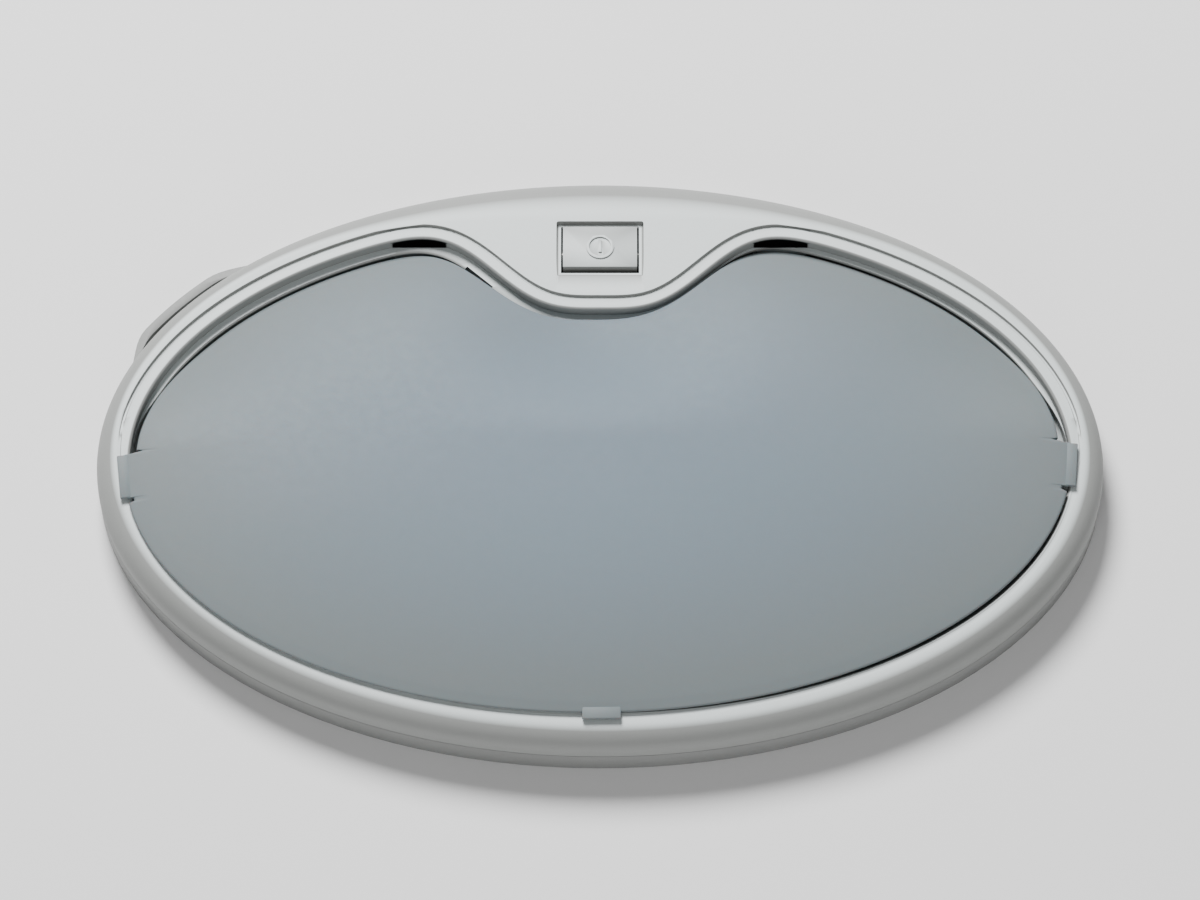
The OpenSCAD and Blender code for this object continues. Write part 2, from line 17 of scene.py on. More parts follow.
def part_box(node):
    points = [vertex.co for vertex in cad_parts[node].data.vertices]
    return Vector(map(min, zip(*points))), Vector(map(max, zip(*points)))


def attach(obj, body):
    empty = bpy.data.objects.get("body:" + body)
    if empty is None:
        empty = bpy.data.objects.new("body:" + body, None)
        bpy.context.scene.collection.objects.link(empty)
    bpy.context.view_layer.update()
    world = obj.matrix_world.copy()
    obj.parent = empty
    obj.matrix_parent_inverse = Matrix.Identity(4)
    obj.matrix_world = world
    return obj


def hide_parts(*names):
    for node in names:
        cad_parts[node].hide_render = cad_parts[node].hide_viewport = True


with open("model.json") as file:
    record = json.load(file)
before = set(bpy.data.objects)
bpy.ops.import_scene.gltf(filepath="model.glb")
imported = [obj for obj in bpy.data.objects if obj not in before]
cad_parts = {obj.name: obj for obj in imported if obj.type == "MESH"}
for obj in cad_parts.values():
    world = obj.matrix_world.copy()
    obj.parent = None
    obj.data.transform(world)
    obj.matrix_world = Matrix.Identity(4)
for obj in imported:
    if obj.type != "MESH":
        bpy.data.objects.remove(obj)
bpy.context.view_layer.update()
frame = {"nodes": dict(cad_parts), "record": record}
RECORD = frame["record"]
BODY_OF = {node: body for body, nodes in RECORD["behaviour"]["bodies"].items() for node in nodes}
SLOT_OF = {row["node"]: row["material_slot"] for row in RECORD["subparts"]}
MM = 0.001
print("nodes in the frame:", len(frame["nodes"]))

# %% [markdown]
# ## Sizes
#
# The bezel's box gives the outline and the lens's box gives the crest. The rest are the bezel's
# own proportions: the opening is an ellipse set a little below the centre, and one bell-shaped
# formula lowers its upper edge into the hump of the crown.

# %% Named sizes


def span(node):
    """A node's low and high corner in millimetres."""
    low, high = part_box(node)
    return Vector(low) / MM, Vector(high) / MM


BEZEL_LOW, BEZEL_HIGH = span("bezel")
LENS_HIGH = span("lens")[1]
HALF_LENGTH = (BEZEL_HIGH.x - BEZEL_LOW.x) / 2
HALF_WIDTH = (BEZEL_HIGH.y - BEZEL_LOW.y) / 2
SEAM_Z = 8.0
FACE_Z = 16.0
WALL = 2.2
OPENING_X = 116.4
OPENING_Y = 66.4
OPENING_SHIFT = 1.0
HUMP_DEPTH = 25.7
HUMP_REACH = 30.8
HUMP_POWER = 3.1
LENS_SHIFT = -0.6
LENS_TURN = math.radians(0.8)
LENS_GAP = 2.4
LENS_INSET = 0.25 - LENS_GAP
SECTORS = 480
print("outline", round(2 * HALF_LENGTH, 1), "x", round(2 * HALF_WIDTH, 1), "mm")

# %% [markdown]
# ## Outlines as functions
#
# Every ring-shaped surface is drawn by one angle that goes round the light. At each angle the
# outline gives a point and the direction that points away from the opening, so a groove or a
# rounded lip is only a distance beside that line.

# %% Curves round the light


def ease(value):
    """0 below 0, 1 above 1, and a smooth rise between."""
    c = min(max(value, 0.0), 1.0)
    return c * c * (3 - 2 * c)


def mix(a, b, share):
    return a + (b - a) * share


def hump(x):
    """How far the crown dips into the opening at this distance from its middle."""
    return HUMP_DEPTH * math.exp(-((abs(x) / HUMP_REACH) ** HUMP_POWER))


def lip_point(turn):
    x = OPENING_X * math.cos(turn)
    y = OPENING_Y * math.sin(turn) - OPENING_SHIFT
    return Vector((x, y - hump(x) if math.sin(turn) > 0 else y))


def lip_normal(turn):
    v = lip_point(turn + 0.004) - lip_point(turn - 0.004)
    return Vector((v.y, -v.x)).normalized()


def beside_lip(turn, out):
    return lip_point(turn) + out * lip_normal(turn)


def rim_point(turn, inset=0.0):
    return Vector(((HALF_LENGTH - inset) * math.cos(turn), (HALF_WIDTH - inset) * math.sin(turn)))


def at(point, z):
    return Vector((point.x, point.y, z))


def on_lens(point):
    """From the lens's own axes to its place in the bezel: a small turn and shift."""
    c, s = math.cos(LENS_TURN), math.sin(LENS_TURN)
    return Vector((c * point.x - s * point.y + LENS_SHIFT, s * point.x + c * point.y, point.z))


def turns(count):
    return [2 * math.pi * i / count for i in range(count)]


# %% [markdown]
# ## Mesh helpers
#
# `ring` joins a closed section to its neighbours all the way round, which suits the bezel.
# `cap` joins open sections that start and end at a pole, which suits the lens. `settle` turns
# live modifiers into a plain mesh, and `carve` is a Boolean that is settled at once.

# %% Mesh helpers


def metres(points):
    return [Vector(p) * MM for p in points]


def new_piece(name, points, faces):
    mesh = bpy.data.meshes.new(name)
    mesh.from_pydata(metres(points), [], faces)
    mesh.validate()
    piece = bpy.data.objects.new(name, mesh)
    bpy.context.scene.collection.objects.link(piece)
    return piece


def ring(name, sections):
    n, m = len(sections), len(sections[0])
    faces = [
        (i * m + j, (i + 1) % n * m + j, (i + 1) % n * m + (j + 1) % m, i * m + (j + 1) % m)
        for i in range(n)
        for j in range(m)
    ]
    return outward(new_piece(name, [p for s in sections for p in s], faces))


def cap(name, sections, top, bottom):
    n, m = len(sections), len(sections[0])
    faces = [
        (i * m + j, (i + 1) % n * m + j, (i + 1) % n * m + j + 1, i * m + j + 1)
        for i in range(n)
        for j in range(m - 1)
    ]
    faces += [(n * m, (i + 1) % n * m, i * m) for i in range(n)]
    faces += [(n * m + 1, i * m + m - 1, (i + 1) % n * m + m - 1) for i in range(n)]
    return outward(new_piece(name, [p for s in sections for p in s] + [top, bottom], faces))


def outward(piece):
    bm = bmesh.new()
    bm.from_mesh(piece.data)
    bmesh.ops.remove_doubles(bm, verts=bm.verts, dist=1e-7)
    bmesh.ops.recalc_face_normals(bm, faces=bm.faces)
    bm.to_mesh(piece.data)
    bm.free()
    return piece


def shade(piece, angle=32):
    mesh = piece.data
    mesh.polygons.foreach_set("use_smooth", [True] * len(mesh.polygons))
    mesh.set_sharp_from_angle(angle=math.radians(angle))
    return piece


def settle(piece):
    graph = bpy.context.evaluated_depsgraph_get()
    mesh = bpy.data.meshes.new_from_object(piece.evaluated_get(graph))
    piece.modifiers.clear()
    piece.data = mesh
    return piece


def discard(piece):
    bpy.data.objects.remove(piece, do_unlink=True)


def carve(piece, tool, operation="DIFFERENCE"):
    modifier = piece.modifiers.new("carve", "BOOLEAN")
    modifier.operation = operation
    modifier.solver = "EXACT"
    modifier.object = tool
    settle(piece)
    discard(tool)
    return piece


def rounded(piece, width, segments=2, angle=35):
    """Rounds the edges that are sharper than the angle. The width is in millimetres."""
    modifier = piece.modifiers.new("round", "BEVEL")
    modifier.width = width * MM
    modifier.segments = segments
    modifier.limit_method = "ANGLE"
    modifier.angle_limit = math.radians(angle)
    modifier.use_clamp_overlap = True
    return settle(piece)


def block(name, low, high, edge=0.0, edge_segments=2):
    """A rounded block between two corners, as a tool or a small part."""
    bm = bmesh.new()
    bmesh.ops.create_cube(bm, size=1.0)
    size = Vector(high) - Vector(low)
    middle = (Vector(high) + Vector(low)) / 2
    for v in bm.verts:
        v.co = Vector((v.co.x * size.x, v.co.y * size.y, v.co.z * size.z)) + middle
    if edge:
        bmesh.ops.bevel(bm, geom=bm.edges[:], offset=edge, segments=edge_segments, affect="EDGES",
                        profile=0.5)
    for v in bm.verts:
        v.co *= MM
    mesh = bpy.data.meshes.new(name)
    bm.to_mesh(mesh)
    bm.free()
    piece = bpy.data.objects.new(name, mesh)
    bpy.context.scene.collection.objects.link(piece)
    return piece


def joined(name, pieces):
    """One mesh out of several. The parts keep their own closed surfaces."""
    bm = bmesh.new()
    for piece in pieces:
        bm.from_mesh(piece.data)
        discard(piece)
    mesh = bpy.data.meshes.new(name)
    bm.to_mesh(mesh)
    bm.free()
    piece = bpy.data.objects.new(name, mesh)
    bpy.context.scene.collection.objects.link(piece)
    return piece


def refined(node, edge=0.2, angle=32):
    """A merged copy of a CAD node with its edges rounded, for parts whose CAD shape is right."""
    bm = bmesh.new()
    bm.from_mesh(frame["nodes"][node].data)
    bmesh.ops.remove_doubles(bm, verts=bm.verts, dist=2e-6)
    bmesh.ops.dissolve_limit(bm, angle_limit=math.radians(0.5), verts=bm.verts, edges=bm.edges)
    mesh = bpy.data.meshes.new(node + "_shell")
    bm.to_mesh(mesh)
    bm.free()
    piece = bpy.data.objects.new(node + "_shell", mesh)
    bpy.context.scene.collection.objects.link(piece)
    if edge:
        rounded(piece, edge, 2, angle)
    return shade(piece, angle)


def place(piece, node, material):
    """Gives the piece its finish, hides the CAD node it stands for and hangs it on that node's
    body.
    """
    piece.data.materials.clear()
    piece.data.materials.append(material)
    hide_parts(node)
    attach(piece, BODY_OF[node])
    return piece


# %% [markdown]
# ## Shader sums
#
# A material is easier to read as arithmetic. `Value` wraps one socket, and its operators add Math
# nodes. `Shader` makes every other kind of node with one method.

# %% Shader helpers


class Value:
    """A number that changes over the surface."""

    def __init__(self, shader, socket):
        self.shader = shader
        self.socket = socket

    def math(self, operation, a, b):
        return self.shader.node("Math", {"operation": operation}, {0: a, 1: b})

    def __add__(self, other):
        return self.math("ADD", self, other)

    def __radd__(self, other):
        return self.math("ADD", other, self)

    def __sub__(self, other):
        return self.math("SUBTRACT", self, other)

    def __rsub__(self, other):
        return self.math("SUBTRACT", other, self)

    def __mul__(self, other):
        return self.math("MULTIPLY", self, other)

    def __rmul__(self, other):
        return self.math("MULTIPLY", other, self)


class Shader:
    """One material and the nodes in it."""

    def __init__(self, name, **constants):
        self.material = bpy.data.materials.new(name)
        self.material.use_nodes = True
        self.tree = self.material.node_tree
        self.tree.nodes.clear()
        output = self.tree.nodes.new("ShaderNodeOutputMaterial")
        self.surface = self.tree.nodes.new("ShaderNodeBsdfPrincipled")
        self.tree.links.new(self.surface.outputs[0], output.inputs["Surface"])
        for socket, value in constants.items():
            self.surface.inputs[socket.replace("_", " ")].default_value = value
        self.place = self.node("TexCoord", {}, {}, "Object")

    def node(self, kind, settings, inputs, output=0):
        made = self.tree.nodes.new("ShaderNode" + kind)
        for key, value in settings.items():
            setattr(made, key, value)
        for key, value in inputs.items():
            self.feed(made.inputs[key], value)
        return Value(self, made.outputs[output])

    def feed(self, socket, value):
        if isinstance(value, Value):
            self.tree.links.new(value.socket, socket)
        else:
            socket.default_value = value

    def noise(self, scale, detail=3.0, roughness=0.5):
        inputs = {"Vector": self.place, "Scale": scale, "Detail": detail, "Roughness": roughness}
        return self.node("TexNoise", {}, inputs, "Fac")

    def blend(self, share, a, b):
        inputs = {"Factor": share, "A": a, "B": b}
        made = self.tree.nodes.new("ShaderNodeMix")
        made.data_type = "RGBA"
        self.feed(made.inputs[0], inputs["Factor"])
        self.feed(made.inputs[6], inputs["A"])
        self.feed(made.inputs[7], inputs["B"])
        return Value(self, made.outputs[2])

    def apart(self, axis):
        """One part of the object coordinate, in metres."""
        made = self.tree.nodes.new("ShaderNodeSeparateXYZ")
        self.feed(made.inputs[0], self.place)
        return Value(self, made.outputs[axis])

    def facing(self):
        """1 where the surface faces straight out of the wall, 0 where it is upright."""
        normal = self.node("NewGeometry", {}, {}, "Normal")
        return self.node("SeparateXYZ", {}, {0: normal}, "Z")

    def window(self, value, low, high):
        """0 at low, 1 at high, and a straight line between."""
        inputs = {"Value": value, "From Min": low, "From Max": high}
        return self.node("MapRange", {}, inputs)

    def paint(self, **values):
        for socket, value in values.items():
            self.feed(self.surface.inputs[socket.replace("_", " ")], value)

    def grain(self, height, distance, strength=1.0):
        inputs = {"Height": height, "Distance": distance, "Strength": strength}
        self.paint(Normal=self.node("Bump", {}, inputs))


# %% [markdown]
# ## Moulded plastic
#
# Both housings are injection moulded with a fine spark-eroded grain. Three things keep such a
# surface from looking like paint: a grain of a few tenths of a millimetre, a slow drift in
# brightness, and gloss that is higher where hands have rubbed it.

#
# The bezel's steep faces are painted a darker grey than its level face, so its colour follows how
# level the surface is: this is painted shade, standing in for the shade that falls on the skirt and
# the walls. Its two slots are shallow recesses in the model, so their inner faces are painted
# nearly black, as an opening into the unlit housing would look. `SLOT_LIMITS` holds, in metres,
# where that
# paint fades in and out: first the square of the distance from the middle, then Y, then Z.

# %% Plastics
SLOT_LIMITS = (
    (0.00146, 0.00148, 0.00278, 0.0028),
    (0.0581, 0.0583, 0.0616, 0.0618),
    (0.012, 0.0122, 0.0153, 0.0155),
)
LEVEL_FACE = (0.93, 0.997)


def tint(colour, factor):
    return tuple(min(c * factor, 1.0) for c in colour[:3]) + (1.0,)


def moulded(name, colour, rough=0.5, grain=0.00003, drift=0.05, specular=0.4):
    s = Shader(name, Specular_IOR_Level=specular)
    cloud = s.window(s.noise(14.0, 4.0, 0.55), 0.3, 0.7)
    speck = s.window(s.noise(900.0, 2.0), 0.35, 0.65)
    base = s.blend(cloud, tint(colour, 1 - drift), tint(colour, 1 + drift * 0.5))
    s.paint(Base_Color=s.blend(speck * 0.25, base, tint(colour, 0.93)))
    s.paint(Roughness=rough - 0.05 + 0.1 * cloud + 0.04 * speck)
    s.grain(s.noise(1400.0, 3.0, 0.6), grain)
    return s.material


def slot_depths(shader):
    """1 on the inner faces of the two slots in the lip, 0 on the rest of the bezel."""
    x = shader.apart("X")
    inside = 1
    for value, limits in zip((x * x, shader.apart("Y"), shader.apart("Z")), SLOT_LIMITS):
        start, low, high, end = limits
        inside = inside * shader.window(value, start, low) * (1 - shader.window(value, high, end))
    return inside


def steep_shaded_plastic(name, face, skirt):
    """Moulded plastic with painted shade: steep faces are painted darker, as if in shade."""
    s = Shader(name, Specular_IOR_Level=0.4)
    height = s.window(s.facing(), *LEVEL_FACE)
    cloud = s.window(s.noise(14.0, 4.0, 0.55), 0.3, 0.7)
    speck = s.window(s.noise(900.0, 2.0), 0.35, 0.65)
    # Painted shade: the colour goes from the face colour to the darker grey as the surface turns
    # steep.
    base = s.blend(height, tint(skirt, 1.0), tint(face, 1.0))
    shaded = s.blend(height, tint(skirt, 0.94), tint(face, 0.95))
    surface = s.blend(0.75 * (1 - cloud) + 0.2 * speck, base, shaded)
    s.paint(Base_Color=s.blend(slot_depths(s), surface, tint(SLOT_DARK, 1.0)))
    s.paint(Roughness=0.44 + 0.08 * (1 - height) + 0.06 * cloud)
    s.grain(s.noise(1400.0, 3.0, 0.6), 0.00003)
    return s.material


def opal(name, middle, edge):
    """Satin opal with a painted reflection: bluish in the middle, more neutral towards its edge."""
    s = Shader(name, Specular_IOR_Level=0.22, Subsurface_Weight=0.1, Subsurface_Scale=0.004)
    across, along = s.apart("X") * 8.6, s.apart("Y") * 15.1
    away = s.window(across * across + along * along + 0.2 * s.noise(9.0, 3.0), 0.05, 1.0)
    haze = s.window(s.noise(420.0, 3.0, 0.6), 0.3, 0.7)
    # Painted reflection: the bluish middle colour stands in for light mirrored by the dome, fading
    # out towards its edge.
    base = s.blend(away, tint(middle, 1.0), tint(edge, 1.0))
    hazy = s.blend(away, tint(middle, 0.94), tint(edge, 0.94))
    s.paint(Base_Color=s.blend(haze * 0.3, base, hazy))
    s.paint(Roughness=0.52 + 0.06 * haze)
    s.grain(s.noise(1100.0, 2.0, 0.5), 0.000012)
    return s.material


def rubber(name, colour):
    s = Shader(name, Specular_IOR_Level=0.25)
    dust = s.window(s.noise(60.0, 5.0, 0.6), 0.45, 0.75)
    s.paint(Base_Color=s.blend(dust, tint(colour, 1.0), tint(colour, 1.9)))
    s.paint(Roughness=0.72 + 0.12 * dust)
    s.grain(s.noise(700.0, 4.0), 0.00005)
    return s.material


def insulation(name, colour):
    s = Shader(name, Specular_IOR_Level=0.5)
    scuff = s.window(s.noise(240.0, 4.0), 0.5, 0.8)
    s.paint(Base_Color=s.blend(scuff * 0.5, tint(colour, 1.0), tint(colour, 1.5)))
    s.paint(Roughness=0.32 + 0.25 * scuff)
    s.grain(s.noise(500.0, 2.0), 0.00001)
    return s.material


# %% [markdown]
# ## Metals, boards and lamps
#
# Zinc, brass and copper are one recipe with other colours. The boards get a solder mask over
# copper, where the copper shows as a slightly raised pattern of tracks, made from a square-celled
# Voronoi texture, and the lamps get a warm phosphor.

# %% Metals and boards


def metal(name, colour, rough=0.32):
    s = Shader(name)
    tarnish = s.window(s.noise(180.0, 5.0, 0.6), 0.4, 0.75)
    s.paint(Base_Color=s.blend(tarnish, tint(colour, 1.0), tint(colour, 0.72)))
    s.paint(Metallic=1.0 - 0.1 * tarnish, Roughness=rough + 0.2 * tarnish)
    s.grain(s.noise(900.0, 4.0), 0.00001)
    return s.material


def circuit_board(name, mask, track):
    s = Shader(name, Coat_Roughness=0.3)
    cells = {"feature": "DISTANCE_TO_EDGE"}
    edge = s.node("TexVoronoi", cells, {"Vector": s.place, "Scale": 620.0, "Randomness": 0.1})
    line = s.window(edge, 0.02, 0.06)
    s.paint(Base_Color=s.blend(line, tint(track, 1.0), tint(mask, 1.0)))
    s.paint(Roughness=0.36 + 0.1 * line, Coat_Weight=0.3 * line)
    s.grain(line, 0.00003)
    return s.material


def phosphor(name, colour):
    s = Shader(name, Specular_IOR_Level=0.6)
    powder = s.window(s.noise(1500.0, 3.0), 0.35, 0.65)
    s.paint(Base_Color=s.blend(powder, tint(colour, 0.86), tint(colour, 1.05)))
    s.paint(Roughness=0.24 + 0.1 * powder)
    s.grain(s.noise(1200.0, 2.0), 0.00001)
    return s.material


BEZEL_WHITE = (0.64, 0.69, 0.69)
SLOT_DARK = (0.004, 0.004, 0.004)
# The next grey is painted shade for the bezel's steep faces.
STEEP_SHADE_GREY = (0.28, 0.288, 0.28)
PAN_WHITE = (0.24, 0.245, 0.24)
# The bluish lens colour below is a painted reflection.
LENS_REFLECTION_BLUE = (0.148, 0.196, 0.238)
LENS_EDGE = (0.168, 0.194, 0.202)

FINISH = {
    "housing_plastic": moulded("housing_plastic_look", PAN_WHITE),
    "bezel_plastic": steep_shaded_plastic("bezel_plastic_look", BEZEL_WHITE, STEEP_SHADE_GREY),
    "opal_lens": opal("opal_lens_look", LENS_REFLECTION_BLUE, LENS_EDGE),
    "tray_paint": moulded("tray_paint_look", (0.82, 0.82, 0.80), 0.38, 0.00002),
    "gasket_rubber": rubber("gasket_rubber_look", (0.03, 0.03, 0.03)),
    "screw_steel": metal("screw_steel_look", (0.60, 0.60, 0.57)),
    "led_board": circuit_board("led_board_look", (0.80, 0.81, 0.79), (0.74, 0.75, 0.73)),
    "led_phosphor": phosphor("led_phosphor_look", (0.85, 0.62, 0.12)),
    "driver_laminate": circuit_board("driver_laminate_look", (0.02, 0.13, 0.05),
                                     (0.05, 0.22, 0.08)),
    "transformer_tape": moulded("transformer_tape_look", (0.66, 0.42, 0.04), 0.35),
    "capacitor_sleeve": moulded("capacitor_sleeve_look", (0.01, 0.015, 0.07), 0.25, 0.00001),
    "black_plastic": moulded("black_plastic_look", (0.02, 0.02, 0.02), 0.5, 0.00003, 0.2),
    "contact_brass": metal("contact_brass_look", (0.78, 0.55, 0.22), 0.28),
    "brown_insulation": insulation("brown_insulation_look", (0.12, 0.045, 0.015)),
    "black_insulation": insulation("black_insulation_look", (0.012, 0.012, 0.012)),
    "blue_insulation": insulation("blue_insulation_look", (0.02, 0.06, 0.30)),
    "red_insulation": insulation("red_insulation_look", (0.38, 0.015, 0.012)),
}
print("finishes:", len(FINISH))

# %% [markdown]
# ## The bezel
#
# The bezel is one long moulding whose section changes as it goes round: narrow at the ends, wide
# over the crown, with a groove only on the crown's side. A sweep along a path would keep one
# section, so the ring is drawn as 480 sections that follow the same rule. The rocker's recess, the
# two hook pockets, the two slots above them and one short relief are carved out afterwards, as a
# mould's inserts would.

# %% Bezel section

LIP_R = 0.9
BAND_DROP = 0.35
GROOVE_W = 0.8
GROOVE_DEPTH = 0.8
SKIRT_TOP_Z = SEAM_Z + 2
LEDGE_LOW_Z = 6.4
LEDGE_HIGH_Z = 8.0
LEDGE_REACH = 3.3
SHOULDER_STEPS = 14
FLANGE_GAP = 0.42
FLANGE_Z = (12.0, 12.8)


def crown_side(turn):
    return ease((math.sin(turn) + 0.25) / 0.5)


def shoulder(turn):
    peak = max(math.sin(turn), 0) ** 9
    return mix(6.0, 4.6 + 7.2 * peak, crown_side(turn))


def flange_point(turn):
    """The flange over the lens's edge. It follows the lens on the crown's side only."""
    near = at(beside_lip(turn, -0.05), 0)
    far = on_lens(at(beside_lip(turn, LENS_INSET + FLANGE_GAP), 0))
    return near.lerp(far, ease((math.sin(turn) - 0.1) / 0.25))


def bezel_section(turn):
    crown = crown_side(turn)
    reach = mix(1.25, 3.1, crown)
    depth = GROOVE_DEPTH * ease((math.sin(turn) - 0.05) / 0.2) + 0.02
    drop = BAND_DROP * crown
    wide = shoulder(turn)
    lip_z = FACE_Z + 0.1 - LIP_R - drop * 0.6
    section = [
        at(beside_lip(turn, -LEDGE_REACH), LEDGE_LOW_Z),
        at(beside_lip(turn, -LEDGE_REACH), LEDGE_HIGH_Z - 0.2),
        at(beside_lip(turn, -LEDGE_REACH + 0.2), LEDGE_HIGH_Z),
        at(beside_lip(turn, 0), LEDGE_HIGH_Z),
        at(beside_lip(turn, 0), FLANGE_Z[0]),
        at(flange_point(turn), FLANGE_Z[0]),
        at(flange_point(turn), FLANGE_Z[1] - 0.25),
        at(flange_point(turn).lerp(at(beside_lip(turn, 0), 0), 0.15), FLANGE_Z[1]),
        at(beside_lip(turn, 0), FLANGE_Z[1]),
    ]
    for step in range(7):
        a = math.pi / 2 * step / 6
        side = LIP_R * (1 - math.cos(a))
        section.append(at(beside_lip(turn, side), lip_z + LIP_R * math.sin(a)))
    band_z = FACE_Z - drop
    section += [
        at(beside_lip(turn, mix(LIP_R, reach, 0.4)), mix(lip_z + LIP_R, band_z, 0.8)),
        at(beside_lip(turn, reach - 0.1), band_z + drop * 0.3),
        at(beside_lip(turn, reach), band_z - depth * 0.15 + drop * 0.3),
        at(beside_lip(turn, reach + 0.12), FACE_Z - depth),
        at(beside_lip(turn, reach + GROOVE_W - 0.2), FACE_Z - depth),
        at(beside_lip(turn, reach + GROOVE_W - 0.06), FACE_Z - depth * 0.18),
        at(beside_lip(turn, reach + GROOVE_W + 0.08), FACE_Z),
    ]
    for step in range(SHOULDER_STEPS + 1):
        a = math.pi / 2 * step / SHOULDER_STEPS
        height = SKIRT_TOP_Z + (FACE_Z - SKIRT_TOP_Z) * math.cos(a)
        section.append(at(rim_point(turn, wide * (1 - math.sin(a))), height))
    section += [
        at(rim_point(turn, 0), SEAM_Z + 0.35),
        at(rim_point(turn, 0.3), SEAM_Z + 0.02),
        at(rim_point(turn, WALL), SEAM_Z + 0.02),
        at(rim_point(turn, WALL), SKIRT_TOP_Z + 0.4),
        at(rim_point(turn, wide * 0.75), FACE_Z - WALL),
        at(beside_lip(turn, 2.3), FACE_Z - WALL),
        at(beside_lip(turn, 2.0), LEDGE_LOW_Z),
    ]
    return section


bezel = ring("bezel_moulding", [bezel_section(t) for t in turns(SECTORS)])
print("bezel section points:", len(bezel_section(0)))

# %% [markdown]
# The recess is a wedge: its floor starts level with the face at the lens side and sinks towards
# the crown's edge, so the tilted rocker stands proud at one end and lies flush at the other. The
# cutter is a block turned by a few degrees.

# %% Bezel openings
ROCKER_Y = RECORD["behaviour"]["joints"][1]["pos_m"][1] / MM
RECESS = (21.9, 15.3)
RECESS_DROP = (0.15, 1.4)
CUTOUT = (19.6, 13.2)
WINDOW_X = 45.6
WINDOW_W = 14.2
WINDOW_Y = (56.4, 60.8)
POCKET_Z = (8.9, 11.95)
SLOT_Y = (58.2, 61.4)
SLOT_Z = (12.3, 15.2)
RELIEF_TURN = math.radians(104)
RELIEF = (1.5, 8.6)
LUG_TURNS = [math.radians(a) for a in (30, 150, 215, 325)]
LUG_INSET = 8.5
LUG_R = 4.2


def wedge(name):
    x, y = RECESS[0] / 2, RECESS[1] / 2
    near, far = FACE_Z - RECESS_DROP[0], FACE_Z - RECESS_DROP[1]
    top = FACE_Z + 2
    points = []
    for sx in (-x, x):
        points += [(sx, ROCKER_Y - y, near), (sx, ROCKER_Y + y, far)]
        points += [(sx, ROCKER_Y + y, top), (sx, ROCKER_Y - y, top)]
    faces = [(0, 1, 2, 3), (7, 6, 5, 4), (0, 4, 5, 1), (1, 5, 6, 2), (2, 6, 7, 3), (3, 7, 4, 0)]
    tool = outward(new_piece(name, points, faces))
    return rounded(tool, 0.6, 4, 80)


def lug(turn):
    """A screw lug: a round pad with a hole, tied to the ledge."""
    p = beside_lip(turn, -LUG_INSET)
    back = beside_lip(turn, -LEDGE_REACH + 0.6)
    side = Vector((-lip_normal(turn).y, lip_normal(turn).x)) * LUG_R
    start = math.atan2(side.y, side.x)
    angles = [start + math.pi * i / 16 for i in range(17)]
    arc = [p + LUG_R * Vector((math.cos(a), math.sin(a))) for a in angles]
    outline = [back + side] + arc + [back - side]
    count = len(outline)
    points = [at(q, LEDGE_LOW_Z) for q in outline] + [at(q, LEDGE_HIGH_Z) for q in outline]
    faces = [tuple(range(count)), tuple(range(2 * count - 1, count - 1, -1))]
    faces += [(i, (i + 1) % count, (i + 1) % count + count, i + count) for i in range(count)]
    return outward(new_piece("lug", points, faces))


def rod(name, centre, radius, low, high, sides=32):
    points = []
    for z in (low, high):
        points += [(centre[0] + radius * math.cos(a), centre[1] + radius * math.sin(a), z)
                   for a in turns(sides)]
    faces = [tuple(range(sides - 1, -1, -1)), tuple(range(sides, 2 * sides))]
    faces += [(i, (i + 1) % sides, (i + 1) % sides + sides, i + sides) for i in range(sides)]
    return outward(new_piece(name, points, faces))


carve(bezel, wedge("recess_tool"))
carve(bezel, block("cutout_tool", (-CUTOUT[0] / 2, ROCKER_Y - CUTOUT[1] / 2, 12),
                   (CUTOUT[0] / 2, ROCKER_Y + CUTOUT[1] / 2, 18)))
for side in (-1, 1):
    left, right = side * WINDOW_X - WINDOW_W / 2, side * WINDOW_X + WINDOW_W / 2
    carve(bezel, block("pocket_tool", (left, WINDOW_Y[0], POCKET_Z[0]),
                       (right, WINDOW_Y[1], POCKET_Z[1])))
    carve(bezel, block("slot_tool", (left, SLOT_Y[0], SLOT_Z[0]),
                       (right, SLOT_Y[1], SLOT_Z[1]), 0.4))
relief = block("relief_tool", (-RELIEF[0] / 2, -RELIEF[1] / 2, FLANGE_Z[0] - 0.5),
               (RELIEF[0] / 2, RELIEF[1] / 2, FLANGE_Z[1] + 0.5))
relief_normal = lip_normal(RELIEF_TURN)
relief.data.transform(Matrix.Translation(flange_point(RELIEF_TURN) * MM)
                      @ Matrix.Rotation(math.atan2(relief_normal.y, relief_normal.x), 4, "Z"))
carve(bezel, relief)
lugs = []
for turn in LUG_TURNS:
    centre = beside_lip(turn, -LUG_INSET)
    piece = carve(lug(turn), rod("hole", centre, 1.7, LEDGE_LOW_Z - 1, LEDGE_HIGH_Z + 1))
    lugs.append(rounded(piece, 0.25, 2, 40))
bezel = joined("bezel_moulding", [bezel] + lugs)
shade(bezel, 38)
place(bezel, "bezel", FINISH["bezel_plastic"])
print("bezel faces:", len(bezel.data.polygons))

# %% [markdown]
# ## The lens
#
# The dome is a cap that is lower on the crown's side, with a shallow valley where it meets the
# hump. Round the lower half its edge laps over the ring, and round the upper half it drops below
# the lip. It is drawn from the crest outwards, over the rounded edge, and back under to the
# crest, so the wall has its real thickness when the lens swings open.

# %% Lens shape
CREST_Z = LENS_HIGH.z
LENS_WALL = 1.8
LAP_REACH = 0.9
RIM_THICKNESS = 1.3
RIM_LOW_Z = 9.8
RIM_HIGH_Z = 16.4
DOME_POWER = 2.8
VALLEY_DEPTH = 7.0
VALLEY_REACH = 30.0
DOME_RINGS = 60
DOME_SHARE = 0.97
PULL_TAB = (9.5, 1.7)
END_TAB = (11.4, 1.3)
END_TURNS = (math.radians(-3), math.radians(183))
NOTCH = 1.5


def lens_low(sine):
    return 1 - ease((sine - 0.04) / 0.5)


